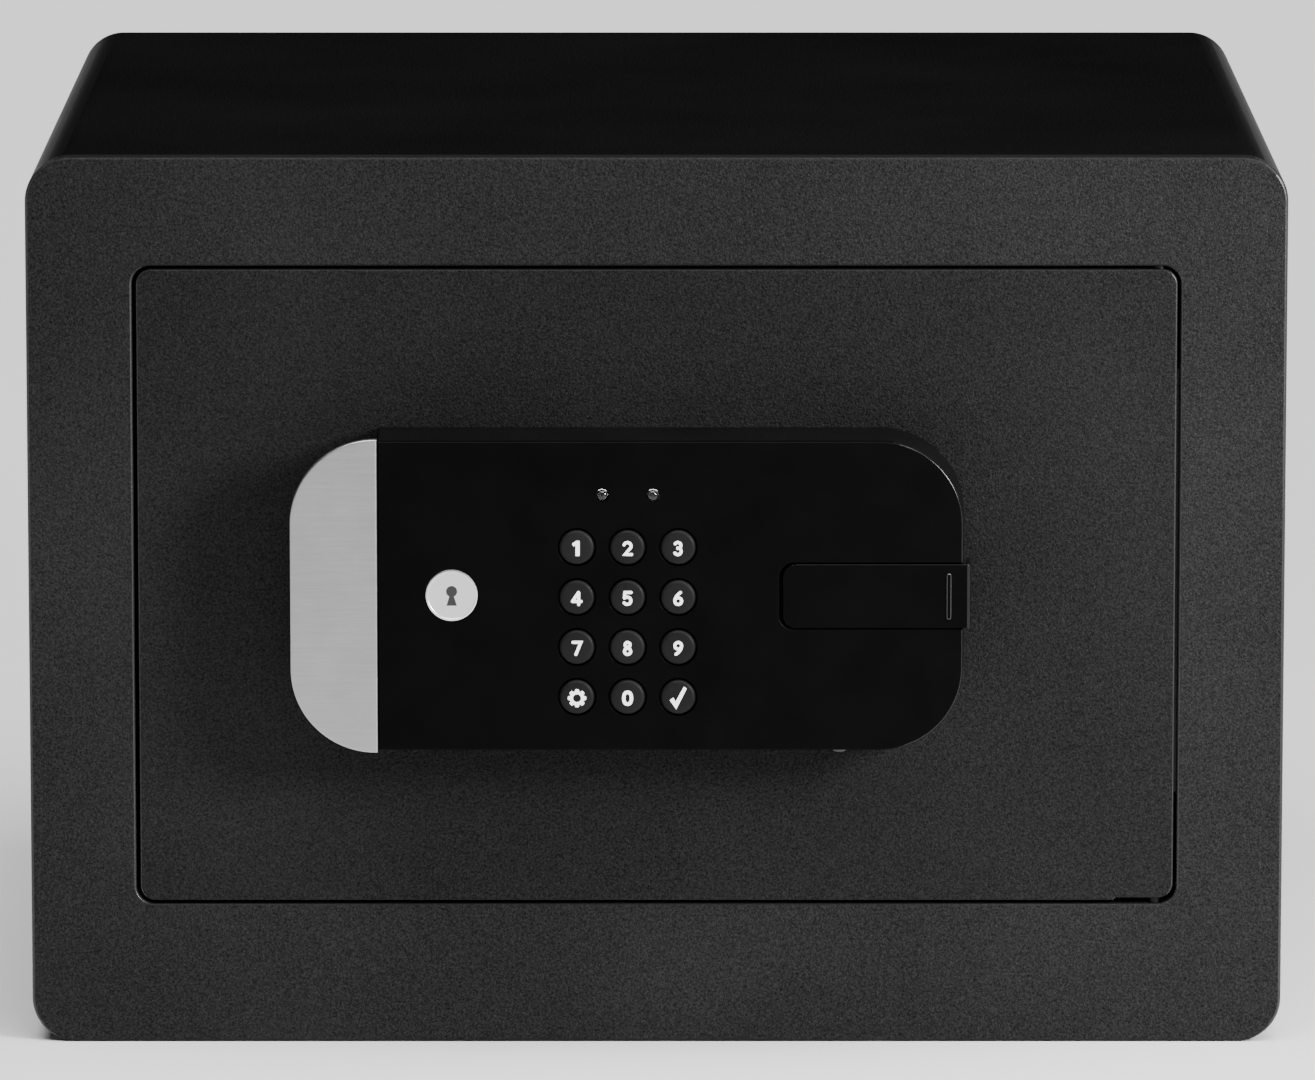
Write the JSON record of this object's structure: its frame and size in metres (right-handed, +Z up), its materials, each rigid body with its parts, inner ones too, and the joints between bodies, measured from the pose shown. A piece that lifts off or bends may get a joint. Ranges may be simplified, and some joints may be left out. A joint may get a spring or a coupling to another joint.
{
  "type": "electronic home safe",
  "caption": "Compact steel home safe with a flush right-hinged door, keypad panel with metal pull grip, motor-driven side bolts and a key override under a sliding cover.",
  "frame": {"origin": "bottom centre of the whole object, pull grip included", "axes": "+X right and +Z up as seen from in front; +Y to the back, so the door faces -Y"},
  "size_m": [0.35, 0.325, 0.25],
  "materials": {
    "textured_paint": "fine orange-peel powder coat, satin",
    "body_paint": "smooth black powder coat",
    "pin_steel": "polished steel",
    "carpet": "short needle-felt pile",
    "panel_plastic": "semi-gloss moulded black",
    "brushed_grip": "vertically brushed",
    "badge": "satin",
    "led_lens": "clear lens",
    "circuit_board": "solder mask",
    "key_plastic": "fine satin",
    "zinc": "zinc plated",
    "lock_brass": "turned",
    "nylon": "moulded",
    "battery_jacket": "printed film",
    "wire_jacket": "PVC",
    "red_button": "moulded"
  },
  "bodies": {
    "cabinet": {"body_shell": "body_paint", "back_panel": "body_paint", "front_frame": "textured_paint", "hinge_pin_top": "pin_steel", "hinge_pin_bottom": "pin_steel", "keeper_bar": "body_paint", "door_stop_top": "body_paint", "door_stop_bottom": "body_paint", "floor_mat": "carpet"},
    "door": {"door_plate": "textured_paint", "dog_bar": "body_paint", "panel_housing": "panel_plastic", "panel_face": "panel_plastic", "grip_plate": "brushed_grip", "badge_disc": "badge", "led_left": "led_lens", "led_right": "led_lens", "keypad_board": "circuit_board", "underside_screw": "pin_steel", "panel_screw_left": "zinc", "panel_screw_right": "zinc", "lock_cylinder": "lock_brass", "cylinder_nut": "zinc", "bolt_guide_lower": "zinc", "bolt_guide_upper": "zinc", "gearbox": "nylon", "motor_can": "pin_steel", "battery_tray": "nylon", "battery_1": "battery_jacket", "battery_2": "battery_jacket", "battery_3": "battery_jacket", "battery_4": "battery_jacket", "control_board": "circuit_board", "wire_loom": "wire_jacket", "inner_cover": "body_paint", "cover_screw_1": "zinc", "cover_screw_2": "zinc", "cover_screw_3": "zinc", "cover_screw_4": "zinc"},
    "boltwork": {"bolt_carriage": "zinc", "locking_bolt_lower": "pin_steel", "locking_bolt_upper": "pin_steel"},
    "pinion": {"drive_pinion": "zinc"},
    "override_plug": {"lock_plug": "lock_brass", "lock_cam": "zinc"},
    "key_cover": {"override_cover": "panel_plastic"},
    "battery_lid": {"battery_cap": "panel_plastic"},
    "reset": {"reset_button": "red_button"},
    "key_1_body": {"key_1": "key_plastic"},
    "key_2_body": {"key_2": "key_plastic"},
    "key_3_body": {"key_3": "key_plastic"},
    "key_4_body": {"key_4": "key_plastic"},
    "key_5_body": {"key_5": "key_plastic"},
    "key_6_body": {"key_6": "key_plastic"},
    "key_7_body": {"key_7": "key_plastic"},
    "key_8_body": {"key_8": "key_plastic"},
    "key_9_body": {"key_9": "key_plastic"},
    "key_settings_body": {"key_settings": "key_plastic"},
    "key_0_body": {"key_0": "key_plastic"},
    "key_enter_body": {"key_enter": "key_plastic"}
  },
  "joints": [
    {"name": "door_hinge", "type": "hinge", "parent": "cabinet", "child": "door", "pos_m": [0.1395, -0.1345, 0.1296], "axis": [0, 0, 1], "range_deg": [0, 110]},
    {"name": "bolt_slide", "type": "slide", "parent": "door", "child": "boltwork", "axis": [-1, 0, 0], "range_m": [0, 0.018]},
    {"name": "pinion_spin", "type": "hinge", "parent": "door", "child": "pinion", "pos_m": [-0.016, -0.1164, 0.124], "axis": [0, 1, 0], "range_deg": [-148, 0]},
    {"name": "override_turn", "type": "hinge", "parent": "door", "child": "override_plug", "pos_m": [0.058, -0.1375, 0.131], "axis": [0, 1, 0], "range_deg": [0, 90]},
    {"name": "key_cover_slide", "type": "slide", "parent": "door", "child": "key_cover", "axis": [1, 0, 0], "range_m": [0, 0.034]},
    {"name": "battery_lid_slide", "type": "slide", "parent": "door", "child": "battery_lid", "axis": [-1, 0, 0], "range_m": [0, 0.048]},
    {"name": "reset_press", "type": "slide", "parent": "door", "child": "reset", "axis": [0, -1, 0], "range_m": [0, 0.0012], "stiffness_N_per_m": 300},
    {"name": "key_1_press", "type": "slide", "parent": "door", "child": "key_1_body", "axis": [0, 1, 0], "range_m": [0, 0.0008], "stiffness_N_per_m": 300},
    {"name": "key_2_press", "type": "slide", "parent": "door", "child": "key_2_body", "axis": [0, 1, 0], "range_m": [0, 0.0008], "stiffness_N_per_m": 300},
    {"name": "key_3_press", "type": "slide", "parent": "door", "child": "key_3_body", "axis": [0, 1, 0], "range_m": [0, 0.0008], "stiffness_N_per_m": 300},
    {"name": "key_4_press", "type": "slide", "parent": "door", "child": "key_4_body", "axis": [0, 1, 0], "range_m": [0, 0.0008], "stiffness_N_per_m": 300},
    {"name": "key_5_press", "type": "slide", "parent": "door", "child": "key_5_body", "axis": [0, 1, 0], "range_m": [0, 0.0008], "stiffness_N_per_m": 300},
    {"name": "key_6_press", "type": "slide", "parent": "door", "child": "key_6_body", "axis": [0, 1, 0], "range_m": [0, 0.0008], "stiffness_N_per_m": 300},
    {"name": "key_7_press", "type": "slide", "parent": "door", "child": "key_7_body", "axis": [0, 1, 0], "range_m": [0, 0.0008], "stiffness_N_per_m": 300},
    {"name": "key_8_press", "type": "slide", "parent": "door", "child": "key_8_body", "axis": [0, 1, 0], "range_m": [0, 0.0008], "stiffness_N_per_m": 300},
    {"name": "key_9_press", "type": "slide", "parent": "door", "child": "key_9_body", "axis": [0, 1, 0], "range_m": [0, 0.0008], "stiffness_N_per_m": 300},
    {"name": "key_settings_press", "type": "slide", "parent": "door", "child": "key_settings_body", "axis": [0, 1, 0], "range_m": [0, 0.0008], "stiffness_N_per_m": 300},
    {"name": "key_0_press", "type": "slide", "parent": "door", "child": "key_0_body", "axis": [0, 1, 0], "range_m": [0, 0.0008], "stiffness_N_per_m": 300},
    {"name": "key_enter_press", "type": "slide", "parent": "door", "child": "key_enter_body", "axis": [0, 1, 0], "range_m": [0, 0.0008], "stiffness_N_per_m": 300}
  ],
  "couplings": [
    {"joint": "pinion_spin", "follows": "bolt_slide", "rad_per_m": -142.86}
  ]
}
